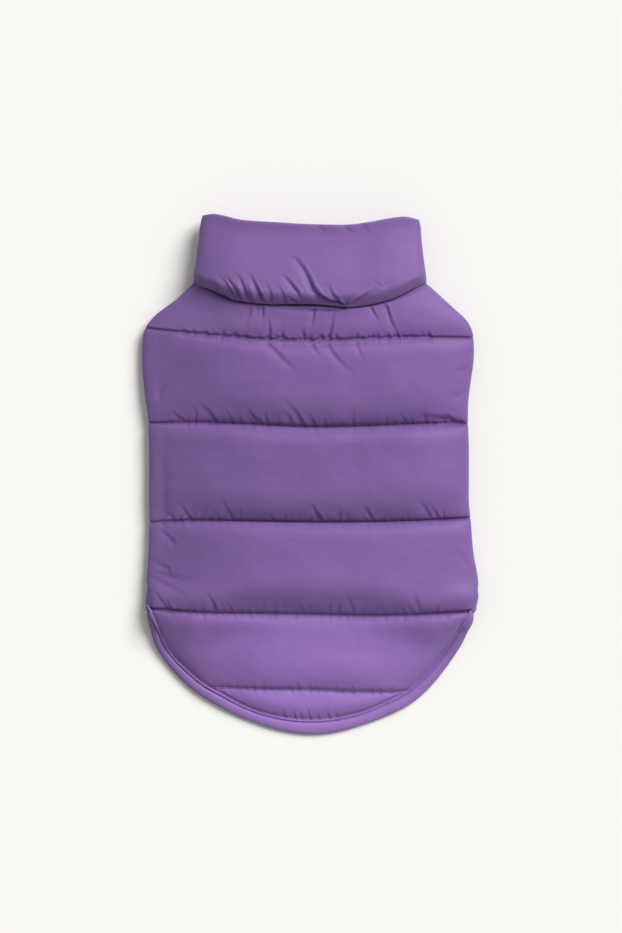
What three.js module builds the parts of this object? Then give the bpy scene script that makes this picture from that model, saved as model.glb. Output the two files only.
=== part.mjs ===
// A small dog's padded winter coat, laid flat on its belly side with the neck towards +Y.
// Millimetres, +Z up, origin under the middle of the coat's box.
// The coat is a tube: a quilted back panel that turns under at both sides, a belly panel
// sewn between its turned-under edges, and a padded collar sewn round the neck.
import * as THREE from 'three';
import { mergeVertices } from 'three/addons/utils/BufferGeometryUtils.js';

// Layers, from the surface that the coat lies on upwards
const seamGap = 0.3; // between two pieces that are sewn together
const neckGap = 0.4; // between the collar and the panels, whose seam is the most curved
const bellyThickness = 6; // padded belly panel, the lower layer, at the sides
const crownLift = 3.4; // how much thicker it lies along the middle of the coat
const crownHalfWidth = 88;
const foldRadius = 0.8; // inside of the fold along each side

// Padding of the back panel
const sideThickness = 8; // at the rolled side, between two quilting lines
const sidePinch = 1.2; // how far a quilting line draws the rolled side in
const quiltThickness = 3.6; // along a quilting line
const edgeThickness = 3.4; // at a bound edge
const edgePinchReach = 11; // how far from a bound edge the padding stays thin
const neckSideThickness = 5; // at the side of the neck seam
const puffFlatness = 2.2; // higher is flatter along the middle of a channel
const puffSteepness = 0.62; // lower is steeper beside a quilting line
const acrossFall = 0.2; // share of the padding lost towards the sides

// The turned-under side and where it opens out into the tail
const turnUnder = 20; // flat width of the back panel on the underside
const rollArcRadius = 5; // spaces the points round the rolled side
const rollOpensAt = -70; // here the hem passes round the side
const rollGoneAt = -95; // from here on the back panel is one flat layer
const dropStart = 4; // how far beyond the belly's hem the tail begins to come down
const dropLength = 25; // over which the tail comes down to the surface

// Gathers along the quilting lines
const gatherPitch = 8.1;
const gatherDepth = 1;
const gatherReach = 7;
const gatherDrift = 17; // makes the spacing uneven

// Leg holes, in the seams between back and belly
const legHoleMiddle = 60; // along the coat
const legHoleHalfLength = 26;
const legHoleHalfWidth = 14;
const legBindingWidth = 3.5;
const legBindingHeight = 4.6;

// Bindings of the hem
const bindingRise = 1.2; // stands this much above the edge it covers
const bindingLeft = 3.4; // width that shows at the left end of the back's hem
const bindingMiddle = 6;
const bindingRight = 4.6;
const bellyBindingWidth = 4.5;
const bellyBindingHeight = 5.2;
const bellyBindingEnd = 3.5; // ends this far from the side seam, beside the back's binding
const cornerClear = 0.9; // extra room inside the binding where it turns round the side
const bellyHemMiddle = -52;
const bellyHemScoop = 17; // the hem lies this much lower at its ends
const bellyHalfWidth = 69;

// Collar
const collarCrown = 13; // padding of the upper layer
const collarLowerThickness = 9.2; // its lower layer, away from the seam
const collarSlit = 1.2;
const collarSeamShare = 0.22; // share of its height in which it rises from the seam
const collarSideThickness = 9.5;
const collarRim = 3.8; // thickness at its mouth
const collarRimShare = 0.14;

// Half widths of the back panel by place along the coat. From -72.7 on this is the hem's
// cut edge, which the binding covers.
const outline = [
  { y: 110.6, left: 68.6, right: 66.4 },
  { y: 101, left: 79, right: 77 },
  { y: 95, left: 87.2, right: 83.5 },
  { y: 89.5, left: 93.2, right: 89.4 },
  { y: 83.5, left: 96.9, right: 92.7 },
  { y: 77.9, left: 98, right: 93.6 },
  { y: 66, left: 98.3, right: 93.6 },
  { y: 54.8, left: 97.6, right: 92 },
  { y: 43, left: 96, right: 90.6 },
  { y: 31.7, left: 94.6, right: 90.4 },
  { y: 10, left: 94, right: 90.9 },
  { y: -14, left: 94, right: 90.9 },
  { y: -26, left: 94, right: 92 },
  { y: -43, left: 94.4, right: 93.2 },
  { y: -55, left: 95.1, right: 95.4 },
  { y: -66, left: 96, right: 96.6 },
  { y: -72.7, left: 96.2, right: 94.5 },
  { y: -83.7, left: 93.9, right: 89.2 },
  { y: -95.2, left: 88.1, right: 81.5 },
  { y: -105.6, left: 81.8, right: 74.2 },
  { y: -114.2, left: 73.4, right: 68 },
  { y: -122.9, left: 62.8, right: 59.1 },
  { y: -128.7, left: 52.4, right: 52.4 },
  { y: -134.4, left: 42, right: 41.3 },
];

// Seams across the back, each by its place along the coat at seven shares of the half width
const acrossShares = [-1, -0.7, -0.35, 0, 0.35, 0.7, 1];
const crossSeams = [
  { name: 'neck seam', along: [110.6, 102, 98.3, 97.5, 97, 101.6, 110.6] },
  { name: 'first quilting line', along: [84.8, 81.3, 78.2, 77, 78.1, 79.1, 79] },
  { name: 'second quilting line', along: [30, 30, 28.8, 27.4, 28, 29.2, 29.5] },
  { name: 'third quilting line', along: [-27.6, -26.4, -26.6, -27.1, -27, -26.2, -24.8] },
  { name: 'fourth quilting line', along: [-77.3, -79.1, -79.6, -80.1, -80.8, -80.1, -78.4] },
  { name: 'fifth quilting line', along: [-122.3, -122.9, -123.5, -123.7, -124.9, -125.2, -125.8] },
  { name: 'hem edge', along: [-134.4, -139.3, -142.6, -143.7, -142.6, -139.3, -134.4] },
];

// Channels between those seams: padding at the crown, and the rows of points along each
const shortRows = [0, 0.12, 0.35, 0.65, 0.88];
const longRows = [0, 0.06, 0.18, 0.38, 0.62, 0.82, 0.94];
const openingRows = [0, 0.06, 0.18, 0.38, 0.62, 0.82, 0.9, 0.96];
const opensRows = [0, 0.05, 0.1, 0.16, 0.22, 0.29, 0.38, 0.62, 0.82, 0.94];
const channels = [
  { name: 'yoke', crown: 9.5, rows: shortRows },
  { name: 'shoulder', crown: 13.2, rows: longRows },
  { name: 'back', crown: 13.6, rows: longRows },
  { name: 'loin', crown: 13, rows: openingRows },
  { name: 'rump', crown: 12, rows: opensRows },
  { name: 'tail', crown: 7.5, rows: shortRows },
];

// Largest folds of the upper layer, each a soft trough from one end to the other
const folds = [
  { fromX: -9, fromY: 123, toX: 16, toY: 98, depth: 2.4, width: 3.4 },
  { fromX: 35, fromY: 107, toX: 22, toY: 98, depth: 1.4, width: 3 },
  { fromX: -39, fromY: 114, toX: -32, toY: 103, depth: 1.5, width: 3 },
  { fromX: -52, fromY: 114, toX: -47, toY: 107, depth: 1.2, width: 3 },
  { fromX: 41, fromY: 96, toX: 48, toY: 82, depth: 1.1, width: 3 },
  { fromX: -28, fromY: 76, toX: -12, toY: 61, depth: 1.1, width: 3.2 },
  { fromX: 10, fromY: 69, toX: 23, toY: 58, depth: 0.9, width: 3.2 },
  { fromX: -86, fromY: 24, toX: -86, toY: -21, depth: 1.8, width: 3 },
];

// Collar: half widths by share of its height, and its mouth at the seven shares across
const collarShares = [0, 0.15, 0.33, 0.52, 0.7, 0.87, 1];
const collarLeft = [68.6, 68.3, 66.9, 66.1, 65, 64.3, 63];
const collarRight = [66.4, 65.9, 64.9, 64.1, 63.5, 63, 62];
const collarMouth = [147.6, 149.9, 147.2, 144.9, 145, 148.6, 146.6];
const collarRows = [0, 0.035, 0.1, 0.2, 0.34, 0.5, 0.66, 0.8, 0.9, 0.965, 1];

// Columns of points of a half section, by share of its length from its edge to the middle
const lipShares = [0, 0.053, 0.107];
const rollStart = 0.16;
const rollEnd = 0.286;
const rollSteps = 7;
const topSteps = 22;
const plainEvery = 4; // the plain inside keeps every fourth column of the top

const cloth = { color: 0x7d5f9b, roughness: 0.5, metalness: 0 };
const bindingCloth = { color: 0x8f70b0, roughness: 0.45, metalness: 0 };

const clamp01 = (value) => Math.min(1, Math.max(0, value));
const mix = (from, to, share) => from + (to - from) * share;
const smooth = (share) => share * share * (3 - 2 * share);

// Smooth curve through a table's values, level beyond its ends
function curve(keys, values, at) {
  const last = keys.length - 1;
  if (at <= keys[0]) return values[0];
  if (at >= keys[last]) return values[last];
  let i = 0;
  while (keys[i + 1] < at) i += 1;
  const slope = (k) => {
    const before = Math.max(0, k - 1);
    const after = Math.min(last, k + 1);
    return (values[after] - values[before]) / (keys[after] - keys[before]);
  };
  const span = keys[i + 1] - keys[i];
  const t = (at - keys[i]) / span;
  const rise = values[i + 1] - values[i];
  const startSlope = slope(i) * span;
  const endSlope = slope(i + 1) * span;
  return values[i] + t * (startSlope + t * (3 * rise - 2 * startSlope - endSlope
    + t * (startSlope + endSlope - 2 * rise)));
}

const outlineKeys = outline.map((row) => -row.y);
const outlineLeft = outline.map((row) => row.left);
const outlineRight = outline.map((row) => row.right);

function halfWidthAt(y, side) {
  return curve(outlineKeys, side < 0 ? outlineLeft : outlineRight, -y);
}

// A row of the back lies in a channel, at a part of the way along it
function rowPlace(row, share) {
  const start = curve(acrossShares, crossSeams[row.channel].along, share);
  const end = curve(acrossShares, crossSeams[row.channel + 1].along, share);
  return mix(start, end, row.part);
}

function rowSide(row, side) {
  const y = rowPlace(row, side);
  const rolled = clamp01((y - rollGoneAt) / (rollOpensAt - rollGoneAt));
  const lineDraw = row.part === 0 ? sidePinch : 0;
  const atNeck = row.channel === 0 ? 1 - smooth(clamp01(row.part / 0.35)) : 0;
  const thickness = mix(sideThickness - lineDraw, neckSideThickness, atNeck);
  const halfWidth = halfWidthAt(y, side);
  const foldX = halfWidth - rolled * (foldRadius + thickness);
  const seamX = halfWidth - foldRadius - mix(sideThickness, neckSideThickness, atNeck) - turnUnder;
  return { halfWidth, rolled, thickness, foldX, seamX };
}

// Top of the belly panel, higher along the middle
const bellyTop = (x) => bellyThickness + crownLift * Math.max(0, 1 - (x / crownHalfWidth) ** 2);

const bellyHem = (x) => bellyHemMiddle
  - bellyHemScoop * Math.min(1, (x / bellyHalfWidth) ** 2);

// Inside of the upper layer: on the belly panel, then down to the surface under the tail
function innerHeight(x, y) {
  const start = bellyHem(x) - bellyBindingWidth - dropStart;
  return (bellyTop(x) + seamGap) * (1 - smooth(clamp01((start - y) / dropLength)));
}

function legHole(y) {
  const share = (y - legHoleMiddle) / legHoleHalfLength;
  return legHoleHalfWidth * Math.sqrt(Math.max(0, 1 - share * share));
}

function puff(part) {
  return (1 - Math.abs(2 * part - 1) ** puffFlatness) ** puffSteepness;
}

function foldDepth(x, y) {
  let depth = 0;
  for (const fold of folds) {
    const alongX = fold.toX - fold.fromX;
    const alongY = fold.toY - fold.fromY;
    const lengthSquared = alongX * alongX + alongY * alongY;
    const share = ((x - fold.fromX) * alongX + (y - fold.fromY) * alongY) / lengthSquared;
    const near = clamp01(share);
    const away = Math.hypot(x - fold.fromX - near * alongX, y - fold.fromY - near * alongY);
    depth += fold.depth * Math.exp(-((away / fold.width) ** 2));
  }
  return depth;
}

function gather(row, x, y) {
  const before = crossSeams[row.channel].along[3];
  const after = crossSeams[row.channel + 1].along[3];
  const away = Math.min(row.part, 1 - row.part) * Math.abs(before - after);
  const wave = Math.sin((x / gatherPitch) * 2 * Math.PI + 2 * Math.sin(x / gatherDrift + y / 30));
  return gatherDepth * wave * Math.exp(-((away / gatherReach) ** 2)) * Math.min(1, away / 2);
}

// Padding of the upper layer
function topThickness(row, x, y, halfWidth) {
  const share = Math.abs(x) / halfWidth;
  const crown = channels[row.channel].crown * (1 - acrossFall * share * share);
  const raised = (crown - quiltThickness) * puff(row.part);
  const worn = row.channel > 4 ? 0 : foldDepth(x, y) * puff(row.part);
  return quiltThickness + Math.max(0, raised - worn) + gather(row, x, y);
}

// Where the seam between back and belly crosses a row, on the underside
function lipEdge(row, side) {
  const form = rowSide(row, side);
  return { form, seamX: form.seamX, y: rowPlace(row, (side * form.seamX) / form.halfWidth) };
}

// A point of the back panel's half section, at a share of its length from its edge
function backPoint(row, side, share) {
  const { form, y: seamY } = lipEdge(row, side);
  const lipShare = clamp01((form.rolled - 0.75) / 0.25);
  const lip = (form.foldX - form.seamX) * lipShare - (form.rolled < 1 ? 0 : legHole(seamY));
  const startAngle = Math.PI * (0.5 - form.rolled);
  const roll = (Math.PI / 2 - startAngle) * rollArcRadius;
  const whole = lip + roll + form.foldX;
  const lipEnd = mix(rollStart * whole, lip, form.rolled);
  const rollStop = mix(rollEnd * whole, lip + roll, form.rolled);
  let travelled = mix(rollStop, whole, (share - rollEnd) / (1 - rollEnd));
  if (share < rollStart) travelled = mix(0, lipEnd, share / rollStart);
  else if (share < rollEnd) {
    travelled = mix(lipEnd, rollStop, (share - rollStart) / (rollEnd - rollStart));
  }
  const y0 = rowPlace(row, side);
  const centreZ = innerHeight(form.foldX, y0) - foldRadius;
  let x = form.foldX - (travelled - lip - roll);
  let normal = [0, 1];
  let thickness;
  let innerZ;
  if (travelled < lip) {
    x = form.foldX - lip + travelled;
    innerZ = centreZ - foldRadius;
    normal = [0, -1];
    thickness = innerZ;
  } else if (travelled < lip + roll) {
    const angle = startAngle + ((travelled - lip) / roll) * (Math.PI / 2 - startAngle);
    const top = topThickness(row, form.foldX, y0, form.halfWidth);
    const under = centreZ - foldRadius;
    const turn = Math.sin(angle);
    thickness = turn < 0
      ? mix(form.thickness, under, turn * turn)
      : mix(form.thickness, top, turn * turn);
    normal = [Math.cos(angle), turn];
    x = form.foldX + foldRadius * normal[0];
    innerZ = centreZ + foldRadius * normal[1];
  }
  const y = rowPlace(row, side * Math.min(1, Math.max(0, x) / form.halfWidth));
  if (thickness === undefined) {
    innerZ = innerHeight(x, y);
    thickness = topThickness(row, side * x, y, form.halfWidth);
  }
  const bound = clamp01((1 - form.rolled) * 4);
  const fromEdge = clamp01(travelled / edgePinchReach);
  const pinch = mix(1, Math.sqrt(1 - (1 - fromEdge) ** 2), bound);
  const padded = Math.min(thickness, edgeThickness) + Math.max(0, thickness - edgeThickness) * pinch;
  return {
    inner: new THREE.Vector3(side * x, y, innerZ),
    outer: new THREE.Vector3(
      side * (x + padded * normal[0]),
      y,
      Math.max(0, innerZ + padded * normal[1]),
    ),
  };
}

// Columns of a whole section, from the left edge over the top to the right edge
const halfShares = [...lipShares];
for (let i = 0; i <= rollSteps; i += 1) halfShares.push(mix(rollStart, rollEnd, i / rollSteps));
for (let i = 1; i <= topSteps; i += 1) halfShares.push(mix(rollEnd, 1, i / topSteps));

const columns = halfShares.map((share) => ({ side: -1, share }));
for (const share of [...halfShares].reverse().slice(1)) columns.push({ side: 1, share });

// The inside is plain, so it keeps fewer of the columns
const topFirst = lipShares.length + rollSteps;
const plainIndex = halfShares.map((share, i) => i).filter((i) => (
  i <= topFirst ? i % 2 === 0 || i === topFirst : (i - topFirst) % plainEvery === 0
));
if (!plainIndex.includes(halfShares.length - 1)) plainIndex.push(halfShares.length - 1);
const lastColumn = columns.length - 1;
const plainColumns = [...plainIndex, ...[...plainIndex].reverse().slice(1).map((i) => lastColumn - i)];

// Collects triangles and turns them into one closed geometry
class Shell {
  constructor() {
    this.points = [];
  }

  triangle(a, b, c) {
    this.points.push(a, b, c);
  }

  grid(rows, flip) {
    for (let r = 0; r + 1 < rows.length; r += 1) {
      for (let c = 0; c + 1 < rows[r].length; c += 1) {
        const corners = [rows[r][c], rows[r + 1][c], rows[r + 1][c + 1], rows[r][c + 1]];
        if (flip) corners.reverse();
        this.triangle(corners[0], corners[1], corners[2]);
        this.triangle(corners[0], corners[2], corners[3]);
      }
    }
  }

  // Joins two rims that run side by side, whatever their numbers of points
  stitch(rimA, rimB) {
    let a = 0;
    let b = 0;
    while (a < rimA.length - 1 || b < rimB.length - 1) {
      const nextA = a < rimA.length - 1 ? rimA[a + 1].distanceTo(rimB[b]) : Infinity;
      const nextB = b < rimB.length - 1 ? rimB[b + 1].distanceTo(rimA[a]) : Infinity;
      if (nextA <= nextB) {
        this.triangle(rimA[a], rimA[a + 1], rimB[b]);
        a += 1;
      } else {
        this.triangle(rimB[b + 1], rimB[b], rimA[a]);
        b += 1;
      }
    }
  }

  geometry() {
    let volume = 0;
    for (let i = 0; i < this.points.length; i += 3) {
      const [a, b, c] = this.points.slice(i, i + 3);
      volume += a.dot(b.clone().cross(c));
    }
    const ordered = volume < 0 ? [...this.points].reverse() : this.points;
    const raw = new THREE.BufferGeometry().setFromPoints(ordered);
    const merged = mergeVertices(raw, 1e-4);
    const index = Array.from(merged.index.array);
    const kept = [];
    for (let i = 0; i < index.length; i += 3) {
      const [a, b, c] = index.slice(i, i + 3);
      if (a !== b && b !== c && c !== a) kept.push(a, b, c);
    }
    merged.setIndex(kept);
    merged.computeVertexNormals();
    return merged;
  }
}

// A wall between an outer and an inner grid of points, with its rims closed
function wall(outer, inner, closedRound) {
  const shell = new Shell();
  shell.grid(outer, false);
  shell.grid(inner, true);
  const last = outer.length - 1;
  shell.stitch(outer[0], inner[0]);
  shell.stitch([...outer[last]].reverse(), [...inner[last]].reverse());
  if (!closedRound) {
    const side = (rows, end) => rows.map((row) => (end ? row[row.length - 1] : row[0]));
    shell.stitch(side(outer, false).reverse(), side(inner, false).reverse());
    shell.stitch(side(outer, true), side(inner, true));
  }
  return shell.geometry();
}

// A strip through closed sections of points, its two ends capped unless it is a ring
function strip(sections, ring) {
  const shell = new Shell();
  shell.grid(sections.map((section) => [...section, section[0]]), false);
  if (ring) return shell.geometry();
  const cap = (section) => {
    for (let i = 1; i + 1 < section.length; i += 1) {
      shell.triangle(section[0], section[i], section[i + 1]);
    }
  };
  cap(sections[0]);
  cap([...sections[sections.length - 1]].reverse());
  return shell.geometry();
}

const hemRow = { channel: 3, part: 0.82 }; // the last row of the back that has a belly panel
const rows = [];
channels.forEach((channel, index) => {
  for (const part of channel.rows) rows.push({ channel: index, part });
});
rows.push({ channel: channels.length - 1, part: 1 });

function backPanel() {
  const grid = rows.map((row) => columns.map(({ side, share }) => backPoint(row, side, share)));
  const neckShift = new THREE.Vector3(0, -neckGap / 2, 0);
  for (const point of grid[0]) {
    point.inner.add(neckShift);
    point.outer.add(neckShift);
  }
  const outer = grid.map((row) => row.map((point) => point.outer));
  const inner = grid.map((row) => plainColumns.map((i) => row[i].inner));
  return { grid, geometry: wall(outer, inner, false) };
}

// Belly panel: the back's rows carried on between the turned-under edges
function bellyPanel() {
  const steps = 12;
  const hasHole = (row) => [-1, 1].some((side) => legHole(lipEdge(row, side).y) > 0);
  const sparse = (row) => [0, 0.38, 0.82].includes(row.part);
  const above = rows.filter((row) => row.channel < 3 && (row.channel < 2 || sparse(row)));
  const near = above.filter((row) => row.channel < 1 || hasHole(row) || sparse(row));
  const beforeHem = [{ channel: 3, part: 0.18 }, { channel: 3, part: 0.38 }];
  const across = (row) => (x) => rowPlace(row, x / rowSide(row, Math.sign(x) || 1).halfWidth);
  const edgeAt = (row, side) => {
    const { seamX, y } = lipEdge(row, side);
    return seamX - seamGap - legHole(y);
  };
  const points = (row, place, height) => {
    const left = -edgeAt(row, -1);
    const right = edgeAt(row, 1);
    const found = [];
    for (let i = 0; i <= steps; i += 1) {
      const x = mix(left, right, i / steps);
      found.push(new THREE.Vector3(x, place(x), height(x)));
    }
    return found;
  };
  const layer = (height) => {
    const grid = near.map((row, index) => {
      const atSeam = index === 0 ? neckGap / 2 : 0;
      return points(row, (x) => across(row)(x) - atSeam, height);
    });
    for (const row of beforeHem) grid.push(points(row, across(row), height));
    grid.push(points(hemRow, bellyHem, height));
    return grid;
  };
  return wall(layer(bellyTop), layer(() => 0), false);
}

// Collar: a padded tube pressed flat, wide side up, its mouth towards +Y
function collarPoint(part, side, share) {
  const halfWidth = curve(collarShares, side < 0 ? collarLeft : collarRight, part);
  const rise = smooth(clamp01(part / collarSeamShare));
  const lowerTop = (x) => bellyTop(x) + (collarLowerThickness - bellyThickness) * rise;
  const slit = mix(seamGap, collarSlit, rise);
  const fold = slit / 2;
  const nearSeam = Math.sqrt(1 - (1 - clamp01(part / collarSeamShare)) ** 2);
  const toRim = clamp01((part - 1 + collarRimShare) / collarRimShare);
  const nearRim = Math.sqrt(1 - toRim * toRim);
  const top = mix(quiltThickness, mix(collarRim, collarCrown, nearRim), nearSeam);
  const sideThick = mix(neckSideThickness, mix(collarRim, collarSideThickness, nearRim), nearSeam);
  const under = (x) => mix(collarRim, lowerTop(x), nearRim);
  const foldX = halfWidth - fold - sideThick;
  const roll = Math.PI * rollArcRadius;
  const travelled = share * (2 * foldX + roll);
  let x = foldX - (travelled - foldX - roll);
  let normal = [0, 1];
  let innerZ = lowerTop(x) + slit;
  let thickness = top * (1 - acrossFall * (x / halfWidth) ** 2);
  if (travelled < foldX) {
    x = travelled;
    normal = [0, -1];
    innerZ = lowerTop(x);
    thickness = under(x);
  } else if (travelled < foldX + roll) {
    const angle = -Math.PI / 2 + ((travelled - foldX) / roll) * Math.PI;
    const turn = Math.sin(angle);
    normal = [Math.cos(angle), turn];
    thickness = mix(sideThick, turn < 0 ? under(foldX) : top * (1 - acrossFall), turn * turn);
    x = foldX + fold * normal[0];
    innerZ = lowerTop(foldX) + fold + fold * turn;
  }
  const across = (side * Math.max(0, x)) / halfWidth;
  const seam = curve(acrossShares, crossSeams[0].along, across) + neckGap / 2;
  const y = mix(seam, curve(acrossShares, collarMouth, across), part);
  if (normal[1] > 0) thickness -= foldDepth(side * x, y) * nearSeam * nearRim * normal[1];
  return {
    inner: new THREE.Vector3(side * x, y, innerZ),
    outer: new THREE.Vector3(side * (x + thickness * normal[0]), y, innerZ + thickness * normal[1]),
  };
}

function collarTube() {
  const lowerShares = [0, 0.11, 0.22, 0.33, 0.405];
  const rollShares = [0.43, 0.455, 0.48, 0.505, 0.53, 0.555];
  const upperSteps = 15;
  const shares = [...lowerShares, ...rollShares];
  for (let i = 0; i <= upperSteps; i += 1) shares.push(mix(0.58, 1, i / upperSteps));
  const around = shares.map((share) => ({ side: -1, share }));
  for (const share of [...shares].reverse().slice(1)) around.push({ side: 1, share });
  const plainOnes = around.map((column, i) => i).filter((i) => i % 2 === 0);
  const grid = collarRows.map((part) => around.map(({ side, share }) => collarPoint(part, side, share)));
  for (const row of grid) {
    for (const point of row) point.outer.z = Math.max(0, point.outer.z);
  }
  const outer = grid.map((row) => row.map((point) => point.outer));
  const inner = grid.map((row) => plainOnes.map((i) => row[i].inner));
  return wall(outer, inner, true);
}

// Binding of the back's hem, made from the panel's edge points and moved out
function backHemBinding(grid) {
  const firstBound = rows.findIndex((row) => rowSide(row, -1).rolled < 1) - 1;
  const leftEdge = grid.slice(firstBound, -1).map((row) => [row[0], row[1]]);
  const bottom = grid[grid.length - 1].map((point, c) => [point, grid[grid.length - 2][c]]);
  const rightEdge = grid.slice(firstBound, -1).map((row) => [row[lastColumn], row[lastColumn - 1]]);
  const sparseBottom = bottom.filter((pair, c) => c % 4 === 0 || c === lastColumn);
  const path = [...leftEdge, ...sparseBottom, ...rightEdge.reverse()];
  const turn = rows.slice(firstBound, -1).map((row) => {
    const { rolled } = rowSide(row, -1);
    return 4 * rolled * (1 - rolled);
  });
  const turning = [...turn, ...sparseBottom.map(() => 0), ...[...turn].reverse()];
  const middles = path.map(([point]) => point.inner.clone().lerp(point.outer, 0.5));
  const sections = path.map(([point, inside], i) => {
    const before = middles[Math.max(0, i - 1)];
    const after = middles[Math.min(path.length - 1, i + 1)];
    const along = after.clone().sub(before).normalize();
    const up = point.outer.clone().sub(point.inner).normalize();
    const out = along.clone().cross(up).normalize();
    const inward = inside.inner.clone().lerp(inside.outer, 0.5).sub(middles[i]);
    if (out.dot(inward) > 0) out.negate();
    const share = i / (path.length - 1);
    const near = seamGap + cornerClear * turning[i];
    const width = share < 0.5
      ? mix(bindingLeft, bindingMiddle, smooth(share * 2))
      : mix(bindingMiddle, bindingRight, smooth(share * 2 - 1));
    const low = -point.outer.distanceTo(point.inner) / 2;
    const high = -low + bindingRise;
    const place = (outward, height) => {
      const found = middles[i].clone().addScaledVector(out, outward).addScaledVector(up, height);
      found.z = Math.max(0, found.z);
      return found;
    };
    return [
      place(near, low),
      place(near, high - 0.6),
      place(near + 0.25 * width, high),
      place(near + 0.7 * width, high - 0.4),
      place(near + width, mix(low, high, 0.55)),
      place(near + 0.9 * width, low),
    ];
  });
  return strip(sections);
}

function bellyHemBinding() {
  const steps = 18;
  const reach = (side) => lipEdge(hemRow, side).seamX - bellyBindingEnd;
  const sections = [];
  for (let i = 0; i <= steps; i += 1) {
    const x = mix(-reach(-1), reach(1), i / steps);
    const y = bellyHem(x) - seamGap;
    const place = (outward, z) => new THREE.Vector3(x, y - outward, z);
    sections.push([
      place(0, 0),
      place(0, bellyBindingHeight),
      place(0.7 * bellyBindingWidth, bellyBindingHeight),
      place(bellyBindingWidth, 0.6 * bellyBindingHeight),
      place(bellyBindingWidth, 0),
    ]);
  }
  return strip(sections);
}

// Binding of a leg hole: the hole's own outline, drawn in twice
function legBinding(side) {
  const edge = rows.map((row) => lipEdge(row, side)).filter((place) => legHole(place.y) > 1);
  const centreX = edge.reduce((sum, place) => sum + place.seamX, 0) / edge.length;
  const spot = (place, way, drawnIn, z) => {
    const across = (legHoleHalfWidth - drawnIn) / legHoleHalfWidth;
    const along = (legHoleHalfLength - drawnIn) / legHoleHalfLength;
    const x = centreX + (place.seamX - centreX + way * legHole(place.y)) * across;
    return new THREE.Vector3(side * x, legHoleMiddle + (place.y - legHoleMiddle) * along, z);
  };
  const innerEdge = seamGap + legBindingWidth;
  const section = (way) => (place) => [
    spot(place, way, seamGap, 0),
    spot(place, way, seamGap, legBindingHeight),
    spot(place, way, innerEdge, legBindingHeight * 0.75),
    spot(place, way, innerEdge, 0),
  ];
  const seam = rows.map((row) => lipEdge(row, side)).filter((place) => place.y > 0);
  const tip = (y) => section(1)({
    seamX: curve(seam.map((place) => -place.y), seam.map((place) => place.seamX), -y),
    y,
  });
  const sections = [
    tip(legHoleMiddle + legHoleHalfLength),
    ...edge.map(section(1)),
    tip(legHoleMiddle - legHoleHalfLength),
    ...[...edge].reverse().map(section(-1)),
  ];
  return strip([...sections, sections[0]], true);
}

const coat = new THREE.Group();
coat.name = 'dog_winter_coat';

function add(name, geometry, look) {
  const mesh = new THREE.Mesh(geometry, new THREE.MeshStandardMaterial(look));
  mesh.name = name;
  coat.add(mesh);
}

const back = backPanel();
add('back_panel', back.geometry, cloth);
add('belly_panel', bellyPanel(), cloth);
add('collar', collarTube(), cloth);
add('hem_binding_back', backHemBinding(back.grid), bindingCloth);
add('hem_binding_belly', bellyHemBinding(), bindingCloth);
add('leg_binding_left', legBinding(-1), bindingCloth);
add('leg_binding_right', legBinding(1), bindingCloth);

// Brings the origin under the middle of the coat's box
const box = new THREE.Box3().setFromObject(coat);
const middle = box.getCenter(new THREE.Vector3());
for (const mesh of coat.children) mesh.geometry.translate(-middle.x, -middle.y, -box.min.z);

export default coat;
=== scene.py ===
# Padded dog coat in quilted nylon, lying flat on its belly side, seen straight from above.
# Shapes are worked out in millimetres and turned to metres when their mesh is made.
import math
import random

import bmesh
import bpy
import numpy as np
from mathutils import Matrix, Vector, noise


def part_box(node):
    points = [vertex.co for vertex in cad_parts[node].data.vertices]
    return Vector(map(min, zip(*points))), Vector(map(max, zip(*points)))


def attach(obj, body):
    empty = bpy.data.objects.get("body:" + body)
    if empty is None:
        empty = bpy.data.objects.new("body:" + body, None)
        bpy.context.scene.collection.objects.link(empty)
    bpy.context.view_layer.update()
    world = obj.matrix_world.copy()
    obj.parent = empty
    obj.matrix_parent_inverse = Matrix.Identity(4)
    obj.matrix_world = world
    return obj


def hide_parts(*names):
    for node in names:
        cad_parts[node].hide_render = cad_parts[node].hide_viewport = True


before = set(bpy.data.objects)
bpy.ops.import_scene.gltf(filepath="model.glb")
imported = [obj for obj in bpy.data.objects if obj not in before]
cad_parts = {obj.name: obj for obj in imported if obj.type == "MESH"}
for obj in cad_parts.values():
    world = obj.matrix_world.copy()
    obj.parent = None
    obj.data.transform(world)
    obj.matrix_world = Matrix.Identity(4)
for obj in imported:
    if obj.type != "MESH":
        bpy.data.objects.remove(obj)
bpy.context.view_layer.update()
print("frame loaded")

scene = bpy.context.scene
mm = 0.001


def clamp01(value):
    return min(1.0, max(0.0, value))


def mix(start, end, share):
    return start + (end - start) * share


def smooth(share):
    return share * share * (3 - 2 * share)


def curve(keys, values, at):  # smooth line through a table, level beyond its ends
    last = len(keys) - 1
    if at <= keys[0]:
        return values[0]
    if at >= keys[last]:
        return values[last]
    i = 0
    while keys[i + 1] < at:
        i += 1
    before, after = max(0, i - 1), min(last, i + 2)
    span = keys[i + 1] - keys[i]
    startSlope = (values[i + 1] - values[before]) / (keys[i + 1] - keys[before]) * span
    endSlope = (values[after] - values[i]) / (keys[after] - keys[i]) * span
    t = (at - keys[i]) / span
    rise = values[i + 1] - values[i]
    bend = startSlope + endSlope - 2 * rise
    return values[i] + t * (startSlope + t * (3 * rise - 2 * startSlope - endSlope + t * bend))


def lengthOf(spots):
    return sum((Vector(end) - Vector(start)).length for start, end in zip(spots, spots[1:])) * mm


def distanceTo(edge, x, y):  # from each place to the nearest point of a line
    x, y = np.atleast_1d(x)[:, None], np.atleast_1d(y)[:, None]
    (startX, startY), (alongX, alongY) = edge[:-1].T, (edge[1:] - edge[:-1]).T
    share = ((x - startX) * alongX + (y - startY) * alongY) / np.maximum(1e-9, alongX ** 2 + alongY ** 2)
    share = np.clip(share, 0, 1)
    return np.hypot(startX + share * alongX - x, startY + share * alongY - y).min(1)


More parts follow.
